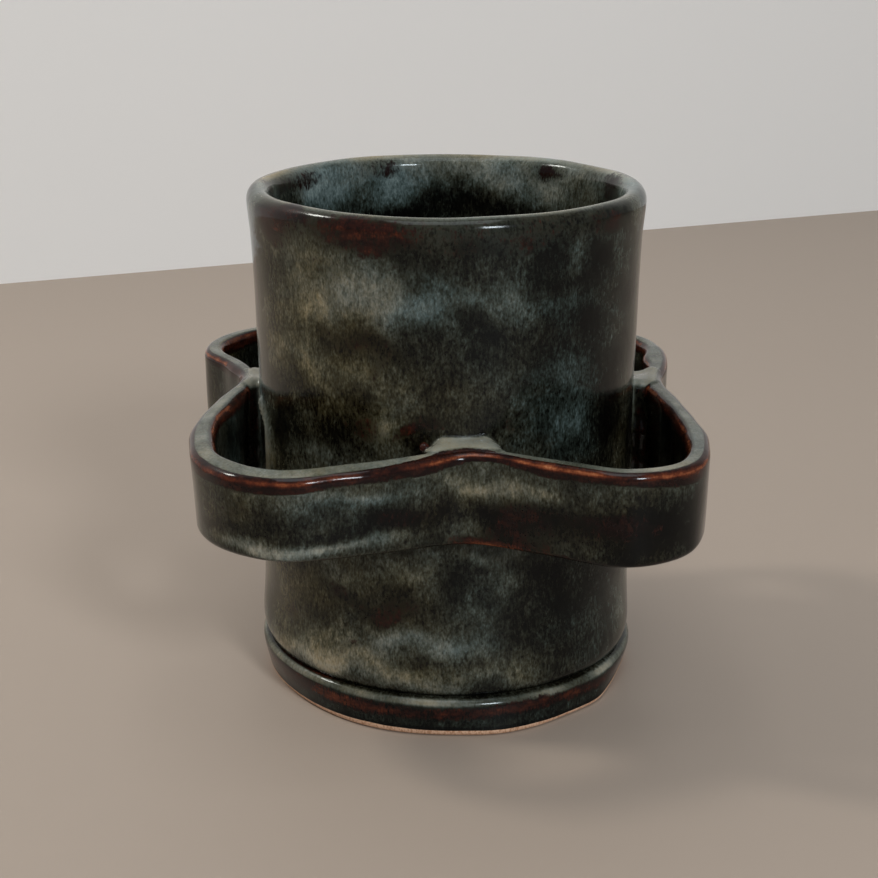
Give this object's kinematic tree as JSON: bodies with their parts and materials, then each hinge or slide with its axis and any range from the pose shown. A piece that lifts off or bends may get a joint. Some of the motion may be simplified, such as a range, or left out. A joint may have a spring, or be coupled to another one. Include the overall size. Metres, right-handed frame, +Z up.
{
  "type": "slab-built stoneware cup with a looped strap handle",
  "caption": "Glazed stoneware cup: an upright slab cylinder on a slab base, ringed at half height by a strap bent into finger loops.",
  "frame": {"origin": "on the cup's upright axis, in the plane of the foot face it stands on", "axes": "+Z up along the cup's axis; -Y towards the front, where the strap meets the wall between its two front loops; +X to the right"},
  "size_m": [0.1095, 0.117, 0.108],
  "materials": {
    "blue_glaze": "glossy mottled blue-grey stoneware glaze that breaks brown on edges",
    "brown_glaze": "the same glaze, thin and brown where soft clay was smeared",
    "foot_glaze": "glossy dark glaze with a bare buff clay line at the foot"
  },
  "bodies": {
    "root": {"base_slab": "foot_glaze", "wall_cylinder": "blue_glaze", "inner_seam_coil": "blue_glaze", "lobed_strap": "blue_glaze", "front_join": "brown_glaze", "right_join": "brown_glaze", "back_join": "brown_glaze", "left_join": "brown_glaze"}
  },
  "joints": []
}
